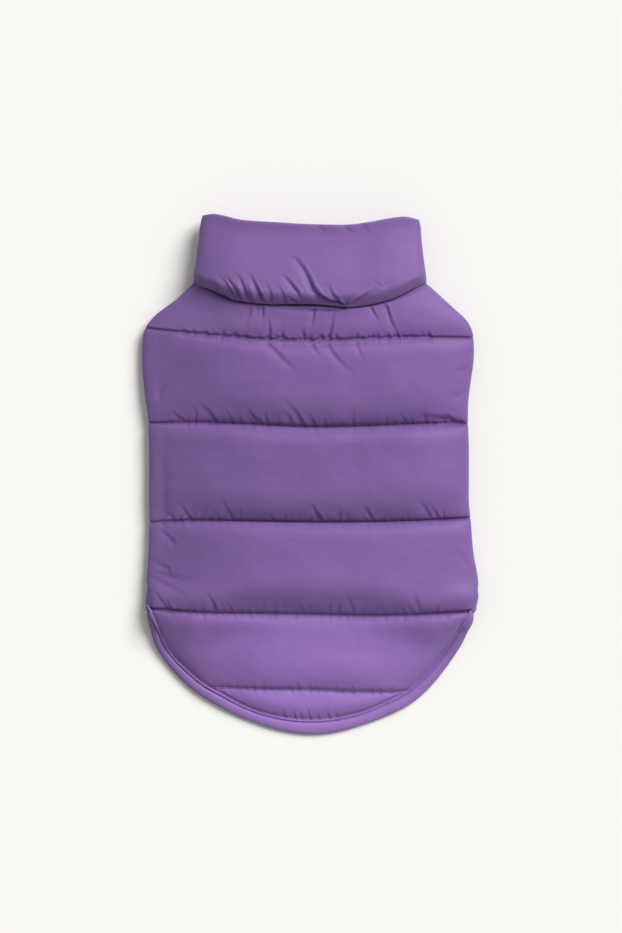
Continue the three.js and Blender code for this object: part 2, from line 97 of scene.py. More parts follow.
def shoulder(x, flatShare, halfWidth, bend):  # 1 on the flat top, round to 0 at the side
    flatX = flatShare * halfWidth
    past = clamp01((x - flatX) / (halfWidth - flatX))
    return (1 - past ** bend) ** (1 / bend)


def evened(values, turns):  # each value drawn towards its neighbours, the ends kept
    for turn in range(turns):
        values[1:-1] = 0.25 * values[:-2] + 0.5 * values[1:-1] + 0.25 * values[2:]
    return values


# Gaps between pieces that are sewn together
seams = {"gap": 0.3, "neckGap": 0.4}

# The cut of the coat, by place along it: half widths, and the seams across
outlineY = [-110.6, -101, -95, -89.5, -83.5, -77.9, -66, -54.8, -43, -31.7, -10, 14, 26, 43, 55, 66,
            72.7, 83.7, 95.2, 105.6, 114.2, 122.9, 128.7, 134.4]  # from the neck to the hem
outlineLeft = [68.6, 79, 87.2, 93.2, 96.9, 98, 98.3, 97.6, 96, 94.6, 94, 94, 94, 94.4, 95.1, 96,
               96.2, 93.9, 88.1, 81.8, 73.4, 62.8, 52.4, 42]
outlineRight = [66.4, 77, 83.5, 89.4, 92.7, 93.6, 93.6, 92, 90.6, 90.4, 90.9, 90.9, 92, 93.2, 95.4, 96.8,
                96.0, 91.2, 83.4, 76.2, 69.6, 60.4, 53.2, 41.3]
acrossShares = [-1, -0.7, -0.35, 0, 0.35, 0.7, 1]
crossSeams = [
    [110.6, 102, 98.3, 97.5, 97, 101.6, 110.6],  # neck seam
    [84.8, 81.3, 78.2, 77, 78.1, 79.1, 79],
    [30, 30, 28.8, 27.4, 28, 29.2, 29.5],
    [-27.6, -26.4, -26.6, -27.1, -27, -26.2, -24.8],
    [-77.3, -79.1, -79.6, -80.1, -80.8, -80.1, -78.4],
    [-122.3, -122.9, -123.5, -123.7, -124.9, -125.2, -125.8],
    [-134.4, -139.3, -142.6, -143.7, -142.6, -139.3, -134.4],  # hem edge
]
# These tables have their own middle, placed by the collar's left side and the tail's end
place = Vector((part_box("collar")[0][0] / mm + outlineLeft[0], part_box("back_panel")[0][1] / mm - crossSeams[-1][3], 0))

channels = [  # padding at the crown, and rows of points
    {"crown": 9.5, "rows": 20},  # yoke
    {"crown": 13.2, "rows": 27},  # shoulder
    {"crown": 13.6, "rows": 26},  # back
    {"crown": 13.0, "rows": 25},  # loin
    {"crown": 12.0, "rows": 23},  # rump
    {"crown": 7.5, "rows": 11},  # tail
]
lastChannel = len(channels) - 1
coat = {
    "foldRadius": 0.8, "turnUnder": 20.0, "rollArc": 5.0, "rollPlaces": [-95, -73, -60],  # the sides' roll
    "side": 8.0, "neckSide": 5.0, "neckShare": 0.35, "sidePinch": 1.2, "pinchShare": 0.05,  # padding at the sides
    "quilt": [2.8, 5.6, 3.2, 3.0, 3.2, 3.4, 2.8],  # height at each line
    "edge": 3.2, "edgeReach": 9.0, "lap": 2.4,  # at the bound hem
    "acrossFall": 0.2, "leftFall": 0.37, "rightFall": -0.05, "fallFrom": 0.2, "fallOver": 0.72,
    "shoulderFrom": (0.34, 0.5), "shoulderBend": (1.9, 2.4),  # left and right
    "neckRise": 2.2, "riseBelow": 10.0, "riseAbove": 20.0, "belowBend": (2.3, 0.5), "aboveBend": (2.2, 0.6),
    "leanUp": 0.35, "leanDown": [0.15, 0.9, 0.9, 0.9, 0.8, 0], "leanReach": (1.3, 1.5), "leanHeight": 3.0,
    "dropStart": 1.0, "dropLength": 31.0,  # where the tail comes down past the belly
    "lipColumns": 4, "rollColumns": 10, "topColumns": 74,
    "underCollar": 2.0, "underOver": 4,  # the neck seam reaches under the collar; columns until it does
    "sideFrom": 50.0, "sideOver": 35.0,  # where the lines begin to sink deeper, and over what width
}
bellyForm = {
    "thickness": 6.0, "crownLift": 3.4, "crownHalfWidth": 88.0,
    "hemMiddle": -52.0, "hemDip": 17.0, "hemHalfWidth": 69.0, "hemTape": 4.5,
    "columns": 60, "rows": 80, "hemFrom": 0.75, "creaseDepth": 0.8,
    "rise": 0.45, "lumps": [(26, 24, 3.4, 0.5)], "edgeMargin": 2.0, "edgeReach": 14.0, "neckEnd": 100.0,
}
legHoles = {"middle": 60.0, "halfWidth": 14.0, "halfLength": 26.0}


def halfWidthAt(y, side):
    return curve(outlineY, outlineLeft if side < 0 else outlineRight, -y)


def rowPlace(row, share):
    channel, part = row
    start = curve(acrossShares, crossSeams[channel], share)
    end = curve(acrossShares, crossSeams[channel + 1], share) if channel <= lastChannel else start
    return mix(start, end, part)


def rowSide(row, side):
    y = rowPlace(row, side)
    rolled = curve(coat["rollPlaces"], [0, 0.5, 1], y)
    atNeck = 1 - smooth(clamp01(row[1] / coat["neckShare"])) if row[0] == 0 else 0
    lineDraw = coat["sidePinch"] * math.exp(-((min(row[1], 1 - row[1]) / coat["pinchShare"]) ** 2))
    thickness = mix(coat["side"] - lineDraw, coat["neckSide"], atNeck)
    halfWidth = halfWidthAt(y, side)
    foldX = halfWidth - (coat["foldRadius"] + thickness) * math.sin(math.pi * min(0.5, rolled))
    full = mix(coat["side"], coat["neckSide"], atNeck)
    seamX = halfWidth - coat["foldRadius"] - full - coat["turnUnder"]
    return {"halfWidth": halfWidth, "rolled": rolled, "thickness": thickness, "foldX": foldX, "seamX": seamX}


def bellyTop(x):
    return bellyForm["thickness"] + bellyForm["crownLift"] * max(0, 1 - (x / bellyForm["crownHalfWidth"]) ** 2)


def bellyHem(x):
    return bellyForm["hemMiddle"] - bellyForm["hemDip"] * min(1, (x / bellyForm["hemHalfWidth"]) ** 2)


def innerHeight(x, y):
    start = bellyHem(x) - bellyForm["hemTape"] - coat["dropStart"]
    return (bellyTop(x) + seams["gap"]) * (1 - smooth(clamp01((start - y) / coat["dropLength"])))


def legHole(y):
    return legHoles["halfWidth"] * math.sqrt(max(0, 1 - ((y - legHoles["middle"]) / legHoles["halfLength"]) ** 2))


def channelLength(row):
    return crossSeams[row[0]][3] - crossSeams[min(row[0], lastChannel) + 1][3]


def puff(row):  # steep just below a quilting line, rounder just above the next
    length = channelLength(row)
    below, above = row[1] * length, (1 - row[1]) * length
    if row[0] == lastChannel:
        above = max(0, above - coat["lap"])
    rise = clamp01(below / (coat["neckRise"] if row[0] == 0 else min(coat["riseBelow"], length / 2)))
    fall = clamp01(above / min(coat["riseAbove"], length / 2))
    (firstBend, firstPower), (lastBend, lastPower) = coat["belowBend"], coat["aboveBend"]
    return (1 - (1 - rise) ** firstBend) ** firstPower * (1 - (1 - fall) ** lastBend) ** lastPower


def lineBulge(row):  # how far the padding leans over the line next to it, towards the tail
    length = channelLength(row)
    below, above = row[1] * length / coat["leanReach"][0], (1 - row[1]) * length / coat["leanReach"][1]
    leanUp = coat["leanUp"] * below * math.exp(1 - below) if row[0] > 0 else 0
    leanDown = coat["leanDown"][row[0]] * above * math.exp(1 - above)
    return leanUp - leanDown


def topThickness(row, x, halfWidth, side):
    share = abs(x) / halfWidth
    fall = coat["leftFall"] if side < 0 else coat["rightFall"]
    rounded = 1 - fall * clamp01((share - coat["fallFrom"]) / coat["fallOver"]) ** 2
    crown = channels[min(row[0], lastChannel)]["crown"] * (1 - coat["acrossFall"] * share * share) * rounded
    part = smooth(clamp01(row[1])) if row[0] <= lastChannel else 0
    quilt = mix(coat["quilt"][row[0]], coat["quilt"][min(row[0], lastChannel) + 1], part)
    return quilt + max(0, crown - quilt) * puff(row)


def lipEdge(row, side):
    form = rowSide(row, side)
    return form, form["seamX"], rowPlace(row, side * form["seamX"] / form["halfWidth"])


def hemEdgeLine():
    rollTop, hemEnd = coat["rollPlaces"][-1], -outlineY[-1]
    line = [(-halfWidthAt(y, -1), y) for y in np.linspace(rollTop, hemEnd, 30)]
    for share in np.linspace(-1, 1, 21):
        reach = outlineLeft[-1] if share < 0 else outlineRight[-1]
        line.append((share * reach, curve(acrossShares, crossSeams[-1], share)))
    line += [(halfWidthAt(y, 1), y) for y in np.linspace(hemEnd, rollTop, 30)]
    return np.array(line)


hemLine = hemEdgeLine()
lipEnd, rollEnd = 0.16, 0.286  # shares of a half section: underside, rolled side, then top


def backPoint(row, side, share):
    form, seamX, seamY = lipEdge(row, side)
    rolled = form["rolled"]
    lip = (form["foldX"] - seamX) * clamp01((rolled - 0.75) / 0.25) - (0 if rolled < 1 else legHole(seamY))
    startAngle = math.pi * (0.5 - rolled)
    roll = (math.pi / 2 - startAngle) * coat["rollArc"]
    whole = lip + roll + form["foldX"]
    stops = (0, mix(lipEnd * whole, lip, rolled), mix(rollEnd * whole, lip + roll, rolled), whole)
    travelled = float(np.interp(share, (0, lipEnd, rollEnd, 1), stops))
    y0 = rowPlace(row, side)
    centreZ = innerHeight(form["foldX"], y0) - coat["foldRadius"]
    x = form["foldX"] - (travelled - lip - roll)
    across, up, thickness = 0, 1, None
    if travelled < lip:
        x = form["foldX"] - lip + travelled
        innerZ = centreZ - coat["foldRadius"]
        up = -1
        thickness = innerZ
    elif travelled < lip + roll:
        angle = startAngle + (travelled - lip) / roll * (math.pi / 2 - startAngle)
        top = topThickness(row, form["foldX"], form["halfWidth"], side)
        under = centreZ - coat["foldRadius"]
        across, up = math.cos(angle), math.sin(angle)
        thickness = mix(form["thickness"], under if up < 0 else top, up * up)
        x = form["foldX"] + coat["foldRadius"] * across
        innerZ = centreZ + coat["foldRadius"] * up
    y = rowPlace(row, side * min(1, max(0, x) / form["halfWidth"]))
    if thickness is None:
        innerZ = innerHeight(x, y)
        thickness = topThickness(row, x, form["halfWidth"], side)
    bound = clamp01((1 - rolled) * 4)
    pinch = 1
    if bound > 0 and row[0] > 3:
        fromEdge = clamp01((distanceTo(hemLine, side * x, y)[0] - coat["lap"]) / coat["edgeReach"])
        pinch = mix(1, math.sqrt(1 - (1 - fromEdge) ** 2), bound)
    padded = min(thickness, coat["edge"]) + max(0, thickness - coat["edge"]) * pinch
    inner = Vector((side * x, y, innerZ))
    lean = lineBulge(row) * max(0, up) * clamp01((padded - coat["quilt"][row[0]]) / coat["leanHeight"])
    outerX, outerZ = x + padded * across, max(0, innerZ + padded * up)
    if up >= 0:  # one round shoulder from the top to the side
        crestX = min(outerX, form["foldX"])
        crest = innerHeight(crestX, y)
        crest += mix(coat["edge"], topThickness(row, crestX, form["halfWidth"], side), pinch)
        flatShare, bend = coat["shoulderFrom"][side > 0], coat["shoulderBend"][side > 0]
        level = shoulder(outerX, flatShare, form["halfWidth"], bend)
        outerZ = mix(outerZ, mix(centreZ, crest, level), smooth(clamp01((rolled - 0.5) * 2)))
    outerY = rowPlace(row, side * min(1, max(0, outerX) / form["halfWidth"])) if row[0] < 3 else y
    outer = Vector((side * outerX, outerY + lean, outerZ))
    return inner, outer, travelled - whole


# Cloth is shaped as a grid of points, each put in its place
def clothGrid(across, along, spot, joined=False):
    bm = bmesh.new()
    bmesh.ops.create_grid(bm, x_segments=across, y_segments=along, size=0.5)
    uv = bm.loops.layers.uv.new("cloth")
    flat = {}
    for v in bm.verts:
        i, j = round((v.co.x + 0.5) * across), round((v.co.y + 0.5) * along)
        point, flat[v.index] = spot(i, j)
        v.co = (point + place) * mm
    for face in bm.faces:
        for loop in face.loops:
            loop[uv].uv = flat[loop.vert.index]
    if joined:  # the two ends of a tube or ring
        bmesh.ops.remove_doubles(bm, verts=bm.verts, dist=1e-6)
    return bm


def linked(name, mesh):
    for face in mesh.polygons:
        face.use_smooth = True
    piece = bpy.data.objects.new(name, mesh)
    scene.collection.objects.link(piece)
    return piece


def finished(bm, name):
    mesh = bpy.data.meshes.new(name)
    bm.normal_update()
    bm.to_mesh(mesh)
    bm.free()
    return linked(name, mesh)


def applied(piece):  # the mesh that a piece shows, with its modifiers
    shown = piece.evaluated_get(bpy.context.evaluated_depsgraph_get())
    mesh = bpy.data.meshes.new_from_object(shown)
    piece.modifiers.clear()
    old = piece.data
    piece.data = mesh
    bpy.data.meshes.remove(old)
    mesh.name = piece.name
    return piece


def subdivided(piece):
    modifier = piece.modifiers.new("subdivision", "SUBSURF")
    modifier.levels = modifier.render_levels = 1
    return applied(piece)


def rimLoops(bm):  # open edges, as loops in order along Y
    left = {e for e in bm.edges if e.is_boundary}
    loops = []
    while left:
        loop = [left.pop()]
        for edge in loop:  # it grows on the way
            found = {e for v in edge.verts for e in v.link_edges} & left
            left -= found
            loop += found
        loops.append(loop)
    return sorted(loops, key=lambda loop: sum(e.verts[0].co.y for e in loop) / len(loop))


def joinedLining(piece, lining):  # the plain inside, bridged to the rims of the outside
    bm = bmesh.new()
    bm.from_mesh(piece.data)
    mesh = bpy.data.meshes.new("lining")
    bmesh.ops.reverse_faces(lining, faces=lining.faces)
    lining.to_mesh(mesh)
    lining.free()
    bm.from_mesh(mesh)
    bpy.data.meshes.remove(mesh)
    loops = rimLoops(bm)
    for k in range(0, len(loops), 2):
        bridged = bmesh.ops.bridge_loops(bm, edges=loops[k] + loops[k + 1])
        for face in bridged["faces"]:
            face.smooth = True
    bm.to_mesh(piece.data)
    bm.free()


creaseForm = {  # lengths as shares of a crease's width
    "steepTowards": (0.67, 0.74), "steep": 0.8, "gentle": 2.3, "sharpness": 1.4,
    "ridge": 0.2, "ridgeAt": 1.9, "margin": 7, "fadeFrom": 0.15, "fadeRate": 1.3,
}


def troughs(points, creases):  # steep on the upper right side, gentle on the lower left
    form = creaseForm
    depth = np.zeros(len(points))
    for line, deep, wide in creases:
        line = np.array(line, float)
        margin = form["margin"] * wide
        box = ((points[:, :2] > line.min(0) - margin) & (points[:, :2] < line.max(0) + margin)).all(1)
        spots = points[box, :2]
        nearest = np.full(len(spots), 1e9)
        aside, travelled = np.zeros(len(spots)), np.zeros(len(spots))
        lengths = np.hypot(*(line[1:] - line[:-1]).T)
        for k, length in enumerate(lengths):
            along = (line[k + 1] - line[k]) / length
            off = spots - line[k]
            share = np.clip(off @ along, 0, length)
            off = off - share[:, None] * along
            away = np.hypot(*off.T)
            closer = away < nearest
            nearest = np.where(closer, away, nearest)
            aside = np.where(closer, off @ form["steepTowards"], aside)
            travelled = np.where(closer, share + lengths[:k].sum(), travelled)
        taper = np.minimum(1, form["fadeFrom"] + form["fadeRate"] * travelled / lengths.sum())  # out at its first end
        reach = np.where(aside > 0, form["steep"] * wide, form["gentle"] * wide)
        ridge = form["ridge"] * np.exp(-(((nearest - form["ridgeAt"] * wide) / wide) ** 2)) * (aside > 0)
        depth[box] += deep * taper * (np.exp(-((nearest / reach) ** form["sharpness"])) - ridge)
    return depth


def lumps(places, waves):  # soft unevenness of the wadding
    return np.array([sum(noise.noise(Vector((p[0] / across, p[1] / along, layer))) * height
                         for across, along, layer, height in waves) for p in places])


def sunk(piece, depthAt):  # moves the upper layer down by a depth for each point
    mesh = piece.data
    spots, normals = np.zeros((2, len(mesh.vertices) * 3))
    mesh.vertices.foreach_get("co", spots)
    mesh.vertex_normals.foreach_get("vector", normals)
    spots, normals = spots.reshape(-1, 3), normals.reshape(-1, 3)
    depth = depthAt(spots / mm - np.array(place), normals)
    spots -= normals * (depth * mm)[:, None]
    spots[:, 2] = np.maximum(spots[:, 2], 0)  # nothing under the surface that it lies on
    mesh.vertices.foreach_set("co", spots.ravel())
    mesh.update()
    return piece


print("back panel")
backRelief = {
    "creaseDepth": 1.45, "creaseWidth": 0.8, "halfWidth": 95,
    "lumps": [(28, 20, 1.7, 0.7), (9, 7, 5.1, 0.16)],  # wavelengths across and along, layer of the noise, height
    "evenReach": 6.0, "creaseReach": 0.8, "creaseLeast": 0.15,  # the lines hold the cloth even and flat
    "hemGroove": 0.75, "hemGrooveAt": 2.35, "hemGrooveWidth": 0.75,  # along the hem's binding
    "lineGroove": 0.35, "sideGroove": 1.1, "lineGrooveWidth": 0.6,
}
backMain = [  # creases: the points that they pass, then depth and width
    ([(-31, 92), (-31, 99)], 0.5, 1.0), ([(-28, 88), (-28.4, 94), (-28, 99.5)], 0.9, 1.1),
    ([(-25.4, 91), (-24.4, 86), (-24, 78)], 0.8, 1.0), ([(-38.4, 86), (-36.5, 91), (-35, 95)], 0.5, 1.1),
    ([(-5, 84.3), (-4.4, 78.3)], 0.8, 1.0), ([(-0.6, 84.6), (0.6, 90), (1.4, 96)], 0.7, 1.1),
    ([(12.6, 93), (11.4, 86), (10, 78.6)], 0.9, 1.1), ([(37.7, 89.5), (35, 94), (33.7, 98)], 0.7, 1.0),
    ([(49.7, 80.6), (45.5, 88), (42.7, 97.5)], 0.8, 1.1), ([(-16, 86), (-17.5, 78.4)], 0.5, 1.0),
    ([(-10.7, 61), (-17, 67), (-26.3, 77)], 0.8, 1.3), ([(4.9, 67.9), (2, 72), (0.2, 76.5)], 0.6, 1.0),
    ([(24.5, 58), (19, 62), (11.8, 70), (9, 76)], 0.6, 1.2), ([(30, 66), (27, 71), (26, 76.5)], 0.4, 1.0),
    ([(-63.8, 40), (-59, 36), (-55.2, 30.6)], 0.7, 1.2), ([(-36.7, 37), (-33.6, 33), (-31.5, 29.4)], 0.7, 1.1),
    ([(-15, 42), (-9.5, 36.5), (-4.4, 28)], 0.7, 1.2), ([(60, 34), (75, 32.4), (86, 29.6)], 0.8, 2.0),
    ([(-0.9, -16.5), (2, -21), (6, -26.4)], 0.8, 1.1),
    ([(-85.6, 24), (-86.2, 2), (-85.6, -19)], 0.6, 5.0), ([(-92, -48), (-88, -51.6), (-82.6, -54)], 0.55, 1.1),
    ([(-66, -61), (-76, -59.6), (-88, -56.6)], 0.5, 1.1), ([(-74, -68), (-82, -64), (-90, -60)], 0.4, 1.1),
    ([(-93, -62), (-88.6, -70), (-83.4, -77.4)], 0.35, 1.1), ([(91, 64), (86, 60)], 0.5, 1.1),
    ([(90, 50), (85, 45)], 0.5, 1.1), ([(-16.5, -136.6), (-15, -141.6)], 0.4, 0.8),
    ([(-11, -135.6), (-9.2, -142)], 0.45, 0.8), ([(-6.6, -137), (-5.4, -142)], 0.35, 0.7),
    ([(-2.6, -135), (-0.6, -142.2)], 0.45, 0.8), ([(3, -137), (4.4, -142)], 0.35, 0.7),
    ([(8.6, -136), (10.6, -142)], 0.45, 0.8), ([(14, -137.4), (15, -141.6)], 0.35, 0.7),
    ([(-24, 96.9), (-18, 96.0), (-8, 95.5), (2, 95.3), (12, 95.5), (19, 96.5)], 1.4, 0.7),
    ([(-84, 52), (-88, 46)], 0.5, 1.0), ([(-80, 36), (-74, 31)], 0.5, 1.0), ([(-76, -17), (-70, -25)], 0.5, 0.9),
    ([(-52, -14), (-46, -24)], 0.45, 1.0), ([(30, -17), (34, -25)], 0.4, 0.9), ([(62, -15), (68, -23)], 0.5, 1.0),
    ([(-88, -31), (-80, -38)], 0.5, 1.1), ([(84, -44), (90, -52)], 0.4, 1.0), ([(76, 36), (82, 31)], 0.5, 1.0),
    ([(-60, -68), (-55, -77)], 0.5, 1.0), ([(20, -69), (24, -78)], 0.4, 0.9), ([(58, -67), (62, -77)], 0.45, 1.0),
]
stitchGathers = [  # quilting line, spacing, length above and below, depth, and share of the width from and to
    (1, 1.7, 3.4, 2.2, 1.05, -0.78, 0.74),
    (2, 4.4, 9.0, 3.6, 0.75, -0.85, 0.85),
    (3, 4.2, 8.0, 3.6, 0.7, -0.9, 0.85),
    (4, 4.6, 8.0, 3.6, 0.7, -0.85, 0.85),
    (5, 4.6, 4.5, 3.8, 0.45, -0.6, 0.6),
]


def spacing(count, crowding=0.6):  # rows closer together next to the seams
    evens = [i / count for i in range(count)]
    return [mix(even, 0.5 - 0.5 * math.cos(math.pi * even), crowding) for even in evens]


def columnsOf(parts):  # both halves of a section, from its seam or fold to the middle
    half = [mix(start, end, i / count) for start, end, count in parts for i in range(count)] + [1]
    return [(-1, share) for share in half] + [(1, share) for share in reversed(half[:-1])]


backRows = [(index, part) for index, channel in enumerate(channels) for part in spacing(channel["rows"])]
backRows.append((lastChannel, 1.0))
backColumns = columnsOf([(0, lipEnd, coat["lipColumns"]), (lipEnd, rollEnd, coat["rollColumns"]),
                         (rollEnd, 1, coat["topColumns"])])
backTable = [[backPoint(row, side, share) for side, share in backColumns] for row in reversed(backRows)]
for i, found in enumerate(backTable[-1]):
    fromRoll = min(i, len(backColumns) - 1 - i) - coat["rollColumns"]
    found[1].y += coat["underCollar"] * clamp01(fromRoll / coat["underOver"])


def backSpot(i, j, outside=True):
    inner, outer, across = backTable[j][i]
    point = outer if outside else inner.copy()
    if j == len(backRows) - 1 and not outside:
        point.y -= seams["neckGap"] / 2
    return point, (backColumns[i][0] * across * -mm, point.y * mm)


panel = clothGrid(len(backColumns) - 1, len(backRows) - 1, backSpot)
lining = clothGrid((len(backColumns) - 1) // 4, (len(backRows) - 1) // 4,
                   lambda i, j: backSpot(4 * i, 4 * j, outside=False))
back = subdivided(finished(panel, "back_quilted"))


def gathers():  # short random puckers that the stitches draw in along each line
    creases = []
    halfWidth = backRelief["halfWidth"]
    rng = random.Random(11)
    for seam, pitch, above, below, depth, first, last in stitchGathers:
        x = first * halfWidth
        while x < last * halfWidth:
            y = curve(acrossShares, crossSeams[seam], x / halfWidth)
            lean = rng.uniform(-0.6, 0.9)
            reach = above * rng.uniform(0.25, 1.1) ** 1.5
            bend = rng.uniform(-0.15, 0.15) * reach
            line = [(x - lean * reach, y + reach), (x - 0.4 * lean * reach + bend, y + 0.5 * reach), (x, y - 0.4)]
            creases.append((line, depth * rng.uniform(0.25, 1.2), rng.uniform(0.55, 0.95)))
            reach = below * rng.uniform(0.3, 1.1) ** 1.5
            line = [(x + rng.uniform(-0.3, 0.6) * reach, y - reach), (x, y + 0.2)]
            creases.append((line, depth * rng.uniform(0.15, 0.8), rng.uniform(0.55, 0.9)))
            x += pitch * rng.uniform(0.55, 1.5)
    return creases


def backDepth(places, normals):
    relief = backRelief
    x, y, up = places[:, 0], places[:, 1], normals[:, 2]
    creases = [(line, relief["creaseDepth"] * deep, relief["creaseWidth"] * wide) for line, deep, wide in backMain]
    depth = troughs(places, creases + gathers())
    top = np.clip((up - 0.3) / 0.4, 0, 1)
    lineAway = np.full(len(places), 60.0)
    for seam in crossSeams:
        lineAway = np.minimum(lineAway, np.abs(y - np.interp(x / relief["halfWidth"], acrossShares, seam)))
    free = np.clip(lineAway / relief["evenReach"], 0, 1)
    keep = np.clip(lineAway / relief["creaseReach"], relief["creaseLeast"], 1)
    fromEdge = np.full(len(places), 99.0)
    tail = (y < -66) & (up > 0.3)
    fromEdge[tail] = distanceTo(hemLine, x[tail], y[tail])
    groove = relief["hemGroove"] * np.exp(-(((fromEdge - relief["hemGrooveAt"]) / relief["hemGrooveWidth"]) ** 2))
    toSide = np.clip((np.abs(x) - coat["sideFrom"]) / coat["sideOver"], 0, 1)
    lineGroove = (relief["lineGroove"] + relief["sideGroove"] * toSide) * (y < 90) * (y > -130)
    lineGroove = lineGroove * np.exp(-((lineAway / relief["lineGrooveWidth"]) ** 2))
    wider = np.clip(up + 0.3, 0, 1)
    return top * (depth * keep + groove) + wider * (lumps(places, relief["lumps"]) * free + lineGroove)


sunk(back, backDepth)
joinedLining(back, lining)

# Collar: a padded tube pressed flat, its mouth towards +Y
print("collar")
collarForm = {
    "crown": 13.0, "lower": 9.2, "slit": 1.2, "side": 9.5, "rim": 3.8,
    "seamShare": 0.15, "seamBend": (2.8, 2.2), "rimShare": 0.2, "rimBend": 2.4,  # rounding at the seam and the mouth
    "mouthFall": 0.6, "mouthFallFrom": 0.05,  # the top slopes down towards the mouth
    "shoulderFrom": 0.55, "shoulderBend": 2.4, "lean": [2.4, -1.9, -1.5, 0], "leanPlaces": [0, 0.16, 0.4, 1],
    "leanEnds": 24.0, "lumps": [(30, 22, 8.3, 0.5)], "creaseDepth": 1.25, "creaseWidth": 0.95,
    "columns": [(0, 0.43, 12), (0.43, 0.58, 14), (0.58, 1, 60)], "rows": 60,  # underside, rolled side, top
    "gaps": [(-53.5, 6.5, 1.2), (-2.5, 18.5, 1.1)],  # where the padding stands back from the seam
}
collarShares = [0, 0.15, 0.33, 0.52, 0.7, 0.87, 1]
collarLeft = [68.6, 68.3, 66.9, 66.1, 65, 64.3, 63]
collarRight = [66.4, 65.9, 64.9, 64.1, 63.5, 63, 62]
mouthShares = [-1, -0.885, -0.66, -0.54, -0.27, -0.09, 0.34, 0.54, 0.7, 0.87, 1]
collarMouth = [149.4, 150.2, 147.1, 146.3, 145.3, 144.6, 144.0, 145.6, 147.5, 148.7, 147.0]
collarCreases = [
    ([(-9.4, 124), (-5, 118.5), (-2, 113), (0.6, 107), (5, 101.4), (11, 98.4), (17.5, 96.8)], 2.6, 1.15),
    ([(-16, 114), (-11.5, 109), (-8, 104.5)], 1.3, 0.9), ([(-19, 108), (-16, 102.5), (-15, 99)], 0.7, 0.8),
    ([(-51.5, 113), (-48.4, 108), (-45.4, 102.1)], 1.2, 0.85), ([(-48.5, 113), (-45, 108), (-42.5, 101.6)], 1.5, 0.8),
    ([(-44.3, 109.6), (-42.2, 105), (-40.8, 101)], 1.1, 0.7), ([(-42, 114.5), (-39.6, 109), (-36.8, 101)], 1.5, 0.9),
    ([(-37.9, 110.2), (-36, 105), (-34.5, 100.4)], 1.0, 0.7), ([(-35.5, 115), (-32.5, 109), (-28.7, 101)], 1.4, 0.9),
    ([(-31, 106.7), (-29, 103), (-27.5, 99.8)], 0.9, 0.7), ([(-26, 110), (-23.6, 104), (-23, 99.6)], 0.6, 0.8),
    ([(-12.8, 101.6), (-11, 100), (-9, 99.4)], 1.0, 0.6), ([(9.6, 108.4), (12, 103), (16.8, 97.8)], 1.2, 0.9),
    ([(5, 104), (9.6, 99.5)], 0.5, 0.7), ([(37.4, 107), (30, 102), (22, 97)], 1.2, 1.1),
    ([(24, 104), (19.4, 98)], 0.5, 0.8), ([(-57, 112), (-54, 107)], 0.6, 0.8), ([(47, 112), (41, 107.6)], 0.5, 2.0),
    ([(-3, 146.5), (4, 143.6)], 0.3, 1.6), ([(12, 146.5), (20, 142.6)], 0.35, 1.6),
    ([(24, 147), (30, 143)], 0.25, 1.4),
]


def collarPlace(part, at):
    seam = curve(acrossShares, crossSeams[0], at) + seams["neckGap"] / 2
    return mix(seam, curve(mouthShares, collarMouth, at), part)


def collarPoint(part, side, share):
    form = collarForm
    halfWidth = curve(collarShares, collarLeft if side < 0 else collarRight, part)
    seamRise = clamp01(part / form["seamShare"])
    rise = smooth(seamRise)
    nearSeam = (1 - (1 - seamRise) ** form["seamBend"][0]) ** (1 / form["seamBend"][1])
    toRim = clamp01((part - 1 + form["rimShare"]) / form["rimShare"])
    nearRim = (1 - toRim ** form["rimBend"]) ** (1 / form["rimBend"])
    lift = (form["lower"] - bellyForm["thickness"]) * rise
    slit = mix(seams["gap"], form["slit"], rise)
    fold = slit / 2
    top = mix(coat["quilt"][0], mix(form["rim"], form["crown"], nearRim), nearSeam)
    sideThick = mix(coat["neckSide"], mix(form["rim"], form["side"], nearRim), nearSeam)
    foldX = halfWidth - fold - sideThick
    roll = math.pi * coat["rollArc"]
    travelled = share * (2 * foldX + roll)
    x = foldX - (travelled - foldX - roll)
    across, up = 0, 1
    innerZ = bellyTop(x) + lift + slit
    mouthward = smooth(clamp01((part - form["mouthFallFrom"]) / (1 - form["mouthFallFrom"])))
    top = mix(top, top * (1 - form["mouthFall"] * mouthward), nearRim)
    thickness = top * (1 - coat["acrossFall"] * (x / halfWidth) ** 2)
    if travelled < foldX:
        x = travelled
        up = -1
        innerZ = bellyTop(x) + lift
        thickness = mix(form["rim"], bellyTop(x) + lift, nearRim)
    elif travelled < foldX + roll:
        angle = -math.pi / 2 + (travelled - foldX) / roll * math.pi
        across, up = math.cos(angle), math.sin(angle)
        lower = mix(form["rim"], bellyTop(foldX) + lift, nearRim)
        flat = lower if up < 0 else top * (1 - coat["acrossFall"])
        thickness = mix(sideThick, flat, up * up)
        x = foldX + fold * across
        innerZ = bellyTop(foldX) + lift + fold + fold * up
    inner = Vector((side * x, collarPlace(part, side * max(0, x) / halfWidth), innerZ))
    gap = sum(deep * math.exp(-(((side * x - middle) / reach) ** 4)) for middle, reach, deep in form["gaps"])
    leans = [at + share * gap for at, share in zip(form["lean"], (0, 1, 0.6, 0))]
    lean = curve(form["leanPlaces"], leans, seamRise) * max(0, up)
    outerX, outerZ = x + thickness * across, max(0, innerZ + thickness * up)
    lean *= smooth(clamp01((halfWidth - outerX) / form["leanEnds"]))
    if up >= 0:
        middleZ = bellyTop(foldX) + lift + fold
        crestX = min(outerX, foldX)
        crest = bellyTop(crestX) + lift + slit + top * (1 - coat["acrossFall"] * (crestX / halfWidth) ** 2)
        outerZ = mix(middleZ, crest, shoulder(outerX, form["shoulderFrom"], halfWidth, form["shoulderBend"]))
    y = collarPlace(part, side * min(1, max(0, outerX) / halfWidth)) + lean
    outer = Vector((side * outerX, y, outerZ))
    return inner, outer, travelled


